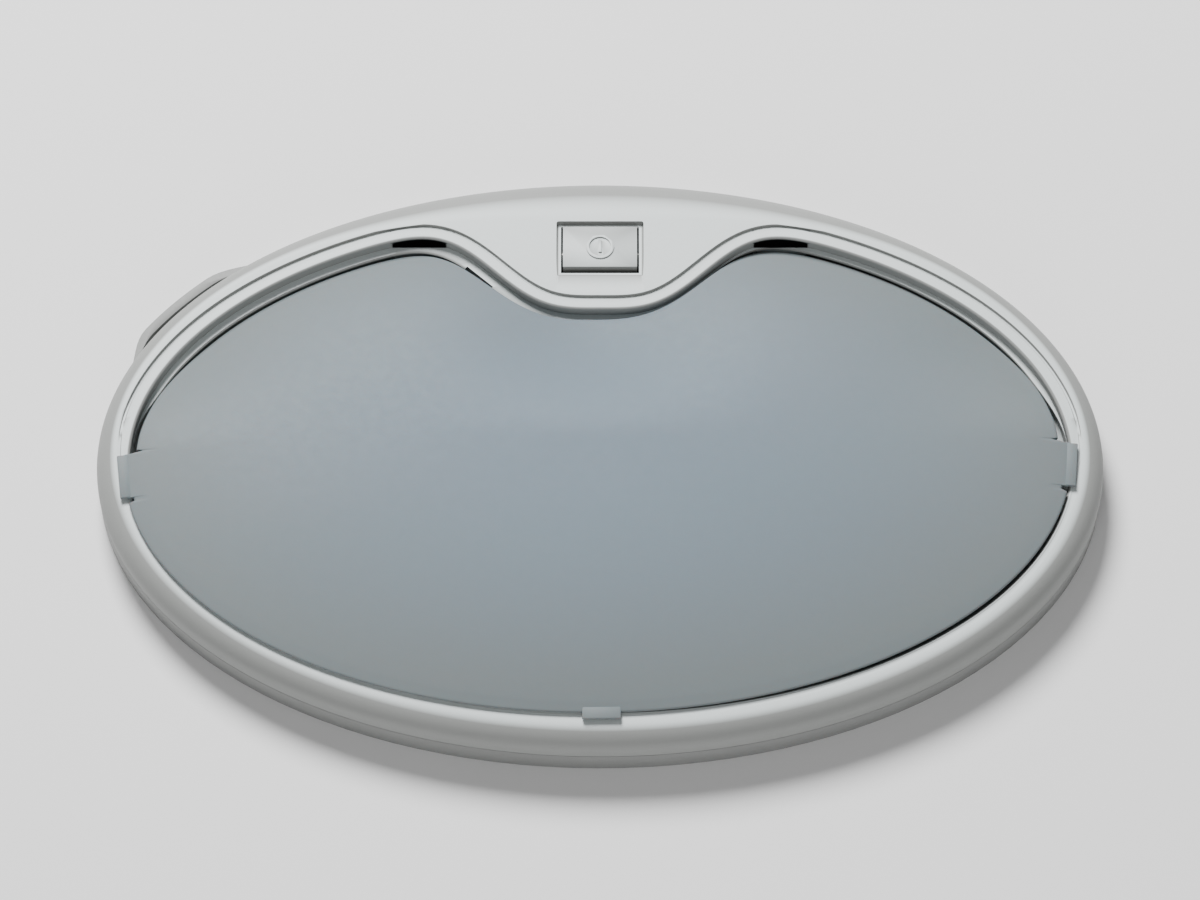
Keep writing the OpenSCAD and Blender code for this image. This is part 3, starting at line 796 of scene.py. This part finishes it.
def dome_z(p):
    u = p.x / OPENING_X
    v = (p.y + OPENING_SHIFT) / OPENING_Y
    rho = max(math.hypot(u, v), 0.01)
    broad = 1 - ease((v / rho + 0.45) / 1.35)
    low_share = mix(broad, lens_low(v / rho), ease((rho - 0.55) / 0.42))
    edge_z = mix(RIM_LOW_Z, RIM_HIGH_Z, low_share) + RIM_THICKNESS
    valley = VALLEY_DEPTH * math.exp(-((p.x / VALLEY_REACH) ** 2)) * ease((p.y - 2) / 34)
    return CREST_Z - (CREST_Z - edge_z) * rho ** DOME_POWER - valley


def toward_centre(edge, share):
    return Vector((edge.x * share, edge.y * share - OPENING_SHIFT * (1 - share)))


def notch(turn):
    """0 to 1: how far the edge steps in, just beside each end tab, so that the tab can flex."""
    for end in END_TURNS:
        across = (lip_point(turn) - lip_point(end)).length - END_TAB[0] / 2
        if -1 < across < NOTCH + 1:
            return ease(across / 0.3) * ease((NOTCH - across) / 0.3)
    return 0.0


def lens_turns():
    """Even steps round the lens, with finer ones through the notches."""
    fine = []
    for end in END_TURNS:
        for side in (-1, 1):
            fine += [end + side * math.radians(4.4 + 0.1 * i) for i in range(24)]
    even = [t for t in turns(SECTORS) if notch(t) == 0]
    return sorted(set(round(t % (2 * math.pi), 6) for t in even + fine))


def lens_section(turn):
    sine = math.sin(turn)
    reach = mix(LAP_REACH, LENS_INSET, ease((sine - 0.035) / 0.02)) - NOTCH * notch(turn)
    outer = beside_lip(turn, reach)
    skirt = beside_lip(turn, -LENS_GAP)
    inner = beside_lip(turn, -LENS_GAP - 1.6)
    low_share = lens_low(sine)
    z = RIM_HIGH_Z if low_share == 1 else min(dome_z(outer) - RIM_THICKNESS, RIM_HIGH_Z)
    low = z - mix(1.4, 4, low_share)
    section = []
    for i in range(1, DOME_RINGS):
        p = toward_centre(outer, DOME_SHARE * (i / (DOME_RINGS - 1)) ** 0.8)
        section.append(on_lens(at(p, max(dome_z(p), z + 0.9))))
    top = max(dome_z(outer), z + 0.9)
    edge = (top - z) / 2
    for step in range(7):
        a = math.pi * step / 6
        p = beside_lip(turn, reach - edge * (1 - math.sin(a)))
        section.append(on_lens(at(p, z + edge + edge * math.cos(a))))
    section += [on_lens(at(p, h)) for p, h in ((skirt, z), (skirt, low), (inner, low))]
    for i in range(DOME_RINGS // 2, 0, -1):
        p = toward_centre(inner, (i / (DOME_RINGS // 2)) ** 0.8)
        section.append(on_lens(at(p, dome_z(p) - LENS_WALL)))
    return section


middle = Vector((0, -OPENING_SHIFT, CREST_Z))
lens = cap("lens_dome", [lens_section(t) for t in lens_turns()], on_lens(middle),
           on_lens(middle - Vector((0, 0, LENS_WALL))))
print("lens faces:", len(lens.data.polygons))

# %% [markdown]
# Tabs and hooks are small blocks with rounded edges. The tabs are placed in the lens's own axes
# with one helper, and the hooks straight in the model's axes. Each hook ends in a round knuckle on
# the line that the lens swings about.

# %% Lens tabs and hooks
HOOK_X = 45.6
HOOK_W = 12.6
HOOK_Y = 53.6
HOOK_HALF = 0.5
KNUCKLE_R = 1.0
HINGE = Vector(RECORD["behaviour"]["joints"][0]["pos_m"]) / MM


def beside_block(turn, size_out, across, z_low, z_high, edge):
    """A block that straddles the lens's edge: from size_out[0] to size_out[1] outwards."""
    n = lip_normal(turn)
    spin = Matrix.Rotation(math.atan2(n.y, n.x), 4, "Z")
    lens_place = Matrix.Translation((LENS_SHIFT * MM, 0, 0)) @ Matrix.Rotation(LENS_TURN, 4, "Z")
    p = beside_lip(turn, LAP_REACH)
    piece = block("tab", (size_out[0], across[0], z_low), (size_out[1], across[1], z_high), edge)
    piece.data.transform(lens_place @ Matrix.Translation(at(p, 0) * MM) @ spin)
    return piece


tabs = [beside_block(-math.pi / 2, (-1.5, PULL_TAB[1]), (-PULL_TAB[0] / 2, PULL_TAB[0] / 2),
                     RIM_HIGH_Z, RIM_HIGH_Z + RIM_THICKNESS, 0.3)]
for turn in END_TURNS:
    tabs.append(beside_block(turn, (-1.5, END_TAB[1]), (-END_TAB[0] / 2, END_TAB[0] / 2),
                             RIM_HIGH_Z, RIM_HIGH_Z + RIM_THICKNESS, 0.3))
for side in (-1, 1):
    left, right = side * HOOK_X - HOOK_W / 2, side * HOOK_X + HOOK_W / 2
    tabs.append(block("hook", (left, HOOK_Y, HINGE.z - HOOK_HALF),
                      (right, HINGE.y, HINGE.z + HOOK_HALF), 0.2))
    knuckle = rounded(rod("knuckle", (0, 0), KNUCKLE_R, left, right), 0.2, 2, 40)
    knuckle.data.transform(Matrix.Translation((0, HINGE.y * MM, HINGE.z * MM))
                           @ Matrix.Rotation(math.pi / 2, 4, "Y"))
    tabs.append(knuckle)
lens = joined("lens_dome", [lens] + tabs)
shade(lens, 38)
place(lens, "lens", FINISH["opal_lens"])

# %% [markdown]
# ## Parts whose CAD shape is right
#
# The pan, tray, boards, covers and switch parts already have their true shape, so each is a
# merged copy with its sharp edges rounded by a tenth or two. Flat-shaded, unrounded edges are what
# makes a model look like a drawing.

# %% Copies with rounded edges
EDGES = {
    "base_pan": 0.3,
    "rear_gasket": 0.15,
    "cable_grommet": 0.3,
    "reflector_tray": 0.25,
    "led_board_left": 0.12,
    "led_board_right": 0.12,
    "driver_board": 0.12,
    "driver_transformer": 0.5,
    "driver_capacitor": 0.5,
    "driver_components": 0.15,
    "driver_cover": 0.35,
    "terminal_block": 0.35,
    "terminal_screws": 0.12,
    "switch_body": 0.25,
    "switch_screws": 0.15,
    "switch_terminals": 0.1,
    "rocker": 0.3,
    "rocker_pin": 0.15,
    "rocker_plunger": 0,
    "seesaw_contact": 0.08,
}
for node, edge in EDGES.items():
    place(refined(node, edge), node, FINISH[SLOT_OF[node]])
print("copied:", len(EDGES))

# %% [markdown]
# ## What repeats: Geometry Nodes
#
# Eight screws and thirty-six lamps are one shape each, put on points. A Geometry Nodes tree does
# that: it takes the shape as an input, turns each copy by a seeded random angle, and ends in
# Realize Instances and Set Material so that what leaves it is a plain mesh.

# %% A tree that puts a shape on points


def group_input(tree, name, kind, default=None):
    socket = tree.interface.new_socket(name, in_out="INPUT", socket_type=kind)
    if default is not None:
        socket.default_value = default
    return socket.identifier


def scatter_tree():
    tree = bpy.data.node_groups.new("shape_on_points", "GeometryNodeTree")
    ids = {
        "points": group_input(tree, "Points", "NodeSocketGeometry"),
        "shape": group_input(tree, "Shape", "NodeSocketObject"),
        "turn": group_input(tree, "Most Turn", "NodeSocketFloat", 0.0),
        "seed": group_input(tree, "Seed", "NodeSocketInt", 1),
        "finish": group_input(tree, "Finish", "NodeSocketMaterial"),
    }
    tree.interface.new_socket("Mesh", in_out="OUTPUT", socket_type="NodeSocketGeometry")
    nodes, link = tree.nodes, tree.links.new
    given = nodes.new("NodeGroupInput")
    result = nodes.new("NodeGroupOutput")
    shape = nodes.new("GeometryNodeObjectInfo")
    spin = nodes.new("FunctionNodeRandomValue")
    spin.data_type = "FLOAT_VECTOR"
    axis = nodes.new("ShaderNodeCombineXYZ")
    less = nodes.new("ShaderNodeMath")
    less.operation = "MULTIPLY"
    less.inputs[1].default_value = -1.0
    low = nodes.new("ShaderNodeCombineXYZ")
    copies = nodes.new("GeometryNodeInstanceOnPoints")
    real = nodes.new("GeometryNodeRealizeInstances")
    finish = nodes.new("GeometryNodeSetMaterial")
    link(given.outputs["Shape"], shape.inputs["Object"])
    link(given.outputs["Most Turn"], axis.inputs["Z"])
    link(given.outputs["Most Turn"], less.inputs[0])
    link(less.outputs[0], low.inputs["Z"])
    link(low.outputs[0], spin.inputs["Min"])
    link(axis.outputs[0], spin.inputs["Max"])
    link(given.outputs["Seed"], spin.inputs["Seed"])
    link(given.outputs["Points"], copies.inputs["Points"])
    link(shape.outputs["Geometry"], copies.inputs["Instance"])
    link(spin.outputs["Value"], copies.inputs["Rotation"])
    link(copies.outputs["Instances"], real.inputs["Geometry"])
    link(real.outputs["Geometry"], finish.inputs["Geometry"])
    link(given.outputs["Finish"], finish.inputs["Material"])
    link(finish.outputs["Geometry"], result.inputs["Mesh"])
    return tree, ids


SCATTER, SCATTER_IDS = scatter_tree()


def scatter(name, places, shape, node, most_turn=0.0, seed=1):
    piece = new_piece(name, places, [])
    modifier = piece.modifiers.new("scatter", "NODES")
    modifier.node_group = SCATTER
    modifier[SCATTER_IDS["shape"]] = shape
    modifier[SCATTER_IDS["turn"]] = most_turn
    modifier[SCATTER_IDS["seed"]] = seed
    modifier[SCATTER_IDS["finish"]] = FINISH[SLOT_OF[node]]
    settle(piece)
    discard(shape)
    shade(piece, 40)
    return place(piece, node, FINISH[SLOT_OF[node]])


# %% [markdown]
# A pan-head screw is a lathe shape with a cross pressed into it. The thread is a stack of rings on
# the shank and not a helix, because at this size rings read the same as a spiral.

# %% Screws


def lathe(name, profile, sides=32):
    sections = [[(r * math.cos(a), r * math.sin(a), z) for r, z in profile] for a in turns(sides)]
    return cap(name, sections, (0, 0, profile[0][1]), (0, 0, profile[-1][1]))


def screw_shape(name, head_r, head_height, shank_r, shank_length):
    crown = [(head_r * math.sin(a), head_height * (0.35 + 0.65 * math.cos(a)))
             for a in [math.pi / 2 * i / 8 for i in range(1, 9)]]
    profile = crown + [(head_r, 0.0), (shank_r * 0.8, 0.0)]
    pitch = 0.8
    for i in range(1, int(shank_length / pitch)):
        profile += [(shank_r * 0.8, -i * pitch + 0.2), (shank_r, -i * pitch)]
        profile += [(shank_r * 0.8, -i * pitch - 0.2)]
    profile += [(shank_r * 0.7, -shank_length + 0.4), (shank_r * 0.2, -shank_length)]
    screw = lathe(name, profile)
    arm, half = head_r * 0.55, 0.32
    for size in ((arm, half), (half, arm)):
        tool = block("cross", (-size[0], -size[1], head_height * 0.45),
                     (size[0], size[1], head_height + 1))
        carve(screw, tool)
    return screw


LUG_PLACES = [at(beside_lip(t, -LUG_INSET), LEDGE_HIGH_Z) for t in LUG_TURNS]
TRAY_TOP_Z = span("reflector_tray")[1].z
TRAY_POSTS = [(-44, -36), (44, -36), (-14, 26), (30, 26)]
scatter("bezel_fixings", LUG_PLACES, screw_shape("screw", 2.7, 1.7, 1.15, 5),
        "bezel_screws", 1.5, 3)
scatter("tray_fixings", [(x, y, TRAY_TOP_Z) for x, y in TRAY_POSTS],
        screw_shape("screw", 2.6, 1.6, 1.15, 5), "tray_screws", 1.5, 5)

# %% Lamps on the boards
LED_STEP = 11.0
BOARD_X = 63.0
BOARD_Y = -8.0
BOARD_TOP_Z = span("led_board_left")[1].z


def lamp_shape():
    body = block("lamp", (-1.75, -1.4, 0), (1.75, 1.4, 0.7), 0.12)
    window = rod("window", (0, 0), 1.15, 0.45, 0.8, 24)
    return joined("lamp", [body, rounded(window, 0.1, 2, 40)])


for side, name in ((-1, "leds_left"), (1, "leds_right")):
    places = [(side * BOARD_X + (i - 2.5) * LED_STEP, BOARD_Y + j * LED_STEP, BOARD_TOP_Z)
              for i in range(6) for j in (-1, 0, 1)]
    scatter(name + "_lamps", places, lamp_shape(), name)

# %% [markdown]
# ## Wires and the plunger spring
#
# A wire is a circle swept along its route, and the spring is the same sweep along a helix. One
# Geometry Nodes tree does both: it takes a curve and sweeps a circle of the given radius along
# it. The wires' routes are points listed in millimetres, which are smoothed before the sweep.

# %% Sweeps


def sweep_tree():
    tree = bpy.data.node_groups.new("round_sweep", "GeometryNodeTree")
    ids = {
        "line": group_input(tree, "Line", "NodeSocketGeometry"),
        "radius": group_input(tree, "Radius", "NodeSocketFloat", 0.001),
        "sides": group_input(tree, "Sides", "NodeSocketInt", 16),
        "finish": group_input(tree, "Finish", "NodeSocketMaterial"),
    }
    tree.interface.new_socket("Mesh", in_out="OUTPUT", socket_type="NodeSocketGeometry")
    nodes, link = tree.nodes, tree.links.new
    given = nodes.new("NodeGroupInput")
    result = nodes.new("NodeGroupOutput")
    circle = nodes.new("GeometryNodeCurvePrimitiveCircle")
    sweep = nodes.new("GeometryNodeCurveToMesh")
    sweep.inputs["Fill Caps"].default_value = True
    real = nodes.new("GeometryNodeRealizeInstances")
    finish = nodes.new("GeometryNodeSetMaterial")
    link(given.outputs["Sides"], circle.inputs["Resolution"])
    link(given.outputs["Radius"], circle.inputs["Radius"])
    link(given.outputs["Line"], sweep.inputs["Curve"])
    link(circle.outputs["Curve"], sweep.inputs["Profile Curve"])
    link(sweep.outputs["Mesh"], real.inputs["Geometry"])
    link(real.outputs["Geometry"], finish.inputs["Geometry"])
    link(given.outputs["Finish"], finish.inputs["Material"])
    link(finish.outputs["Geometry"], result.inputs["Mesh"])
    return tree, ids


SWEEP, SWEEP_IDS = sweep_tree()


def sweep(name, points, radius, node, sides=16):
    curve = bpy.data.curves.new(name + "_line", "CURVE")
    curve.dimensions = "3D"
    spline = curve.splines.new("POLY")
    spline.points.add(len(points) - 1)
    for slot, p in zip(spline.points, metres(points)):
        slot.co = (*p, 1.0)
    line = bpy.data.objects.new(name + "_line", curve)
    bpy.context.scene.collection.objects.link(line)
    modifier = line.modifiers.new("sweep", "NODES")
    modifier.node_group = SWEEP
    modifier[SWEEP_IDS["radius"]] = radius * MM
    modifier[SWEEP_IDS["sides"]] = sides
    modifier[SWEEP_IDS["finish"]] = FINISH[SLOT_OF[node]]
    graph = bpy.context.evaluated_depsgraph_get()
    mesh = bpy.data.meshes.new_from_object(line.evaluated_get(graph))
    discard(line)
    piece = bpy.data.objects.new(name, mesh)
    bpy.context.scene.collection.objects.link(piece)
    shade(outward(piece), 50)
    return place(piece, node, FINISH[SLOT_OF[node]])


def smooth_route(points, cuts=8):
    """Points on a smooth curve through the given points."""
    p = [Vector(q) for q in points]
    route = []
    for i in range(len(p) - 1):
        a, b, d, e = p[max(i - 1, 0)], p[i], p[i + 1], p[min(i + 2, len(p) - 1)]
        for c in range(cuts):
            w = c / cuts
            route.append(0.5 * (2 * b + (d - a) * w + (2 * a - 5 * b + 4 * d - e) * w * w
                                + (3 * b - a - 3 * d + e) * w ** 3))
    return route + [p[-1]]


WIRE_R = 0.55
LED_ROUTE = [(19, -6, 10.3), (22, -6, 10.7), (26, -6, 10.7), (29.4, -6, 10.3)]
ROUTES = {
    "wire_live_switch": [(-27, 28, 4.6), (-24.2, 28, 4.6), (-22.4, 30, 4.5), (-18, 38, 4),
                         (-13, 43.5, 3.3), (-9, 47, 3.02), (-6, 50.5, 3), (-1.9, 52.6, 3)],
    "wire_switch_return": [(-27, 24.6, 4.6), (-24, 24.6, 4.6), (-21.4, 25.6, 4.5),
                           (-18.4, 30, 4.3), (-4, 38, 3.8), (5, 43, 3.3), (7.5, 47, 3.02),
                           (6, 53, 3), (2.2, 56.4, 3)],
    "wire_driver_live": [(-27, 22.4, 9.6), (-24.2, 22.4, 9.6), (-21.6, 21.4, 9.6),
                         (-16, 16, 9.6), (-12, 9, 9.9), (-12, 2.4, 10.3)],
    "wire_driver_neutral": [(-27, 27.6, 9.6), (-24.2, 27.6, 9.6), (-21, 26.6, 9.6),
                            (-12, 19, 9.6), (-6, 10, 9.9), (-6, 2.4, 10.3)],
    "wire_led_left": [(-x, y, z) for x, y, z in LED_ROUTE],
    "wire_led_right": LED_ROUTE,
}
for node, route in ROUTES.items():
    sweep(node + "_lead", smooth_route(route), WIRE_R, node)

# %% Plunger spring
PIVOT = Vector(RECORD["behaviour"]["joints"][1]["pos_m"]) / MM
TILT = Matrix.Rotation(math.radians(-6), 3, "X")
COILS = 3
COIL_CUTS = 24
coil = []
for i in range(COILS * COIL_CUTS + 1):
    a = 2 * math.pi * i / COIL_CUTS
    height = -3.3 + 0.9 * i / (COILS * COIL_CUTS)
    coil.append(PIVOT + TILT @ Vector((0.72 * math.cos(a), 0.72 * math.sin(a), height)))
sweep("plunger_coil", coil, 0.13, "plunger_spring", 10)

# %% [markdown]
# ## Stage, light and camera
#
# A pale floor, one large soft light beyond the crown, and a weak wide fill from the near side.
# The light comes mostly from behind the crown, so the near side of the ring falls into shade. The
# camera is a long lens, so the ellipse keeps its shape from edge to edge.

# %% Stage
FLOOR = 3.0
floor = bpy.data.objects.new("floor", bpy.data.meshes.new("floor"))
corners = [(x * FLOOR, y * FLOOR, 0) for x, y in ((-1, -1), (1, -1), (1, 1), (-1, 1))]
floor.data.from_pydata(corners, [], [(0, 1, 2, 3)])
bpy.context.scene.collection.objects.link(floor)
paper = Shader("paper", Roughness=0.9, Specular_IOR_Level=0.1)
paper.paint(Base_Color=(0.9, 0.9, 0.9, 1.0))
floor.data.materials.append(paper.material)


def soft_light(name, position, target, size, power, colour=(1, 1, 1)):
    light = bpy.data.lights.new(name, "AREA")
    light.shape = "DISK"
    light.size = size
    light.energy = power
    light.color = colour
    lamp = bpy.data.objects.new(name, light)
    lamp.location = position
    lamp.rotation_euler = (Vector(target) - Vector(position)).to_track_quat("-Z", "Y").to_euler()
    bpy.context.scene.collection.objects.link(lamp)


soft_light("key", (-0.3, 0.95, 1.15), (0, 0, 0), 0.6, 50.0)
soft_light("fill", (0, -1.3, 0.6), (0, 0, 0), 1.2, 8.0)
world = bpy.data.worlds.new("studio")
world.use_nodes = True
world.node_tree.nodes["Background"].inputs["Color"].default_value = (1, 1, 1, 1)
world.node_tree.nodes["Background"].inputs["Strength"].default_value = 0.19
bpy.context.scene.world = world

# %% Camera
ELEVATION = math.radians(67)
DISTANCE = 1.6
VIEW_WIDTH = 0.2992
UP_SHIFT = 0.0061
SENSOR = 36.0
camera = bpy.data.cameras.new("camera")
camera.sensor_width = SENSOR
camera.lens = SENSOR * DISTANCE / VIEW_WIDTH
eye = bpy.data.objects.new("camera", camera)
view_back = Vector((0, -math.cos(ELEVATION), math.sin(ELEVATION)))
view_up = Vector((0, math.sin(ELEVATION), math.cos(ELEVATION)))
aim = Vector((0, 0, 0.004)) + view_up * UP_SHIFT
eye.location = aim + view_back * DISTANCE
eye.rotation_euler = (-view_back).to_track_quat("-Z", "Y").to_euler()
bpy.context.scene.collection.objects.link(eye)
bpy.context.scene.camera = eye
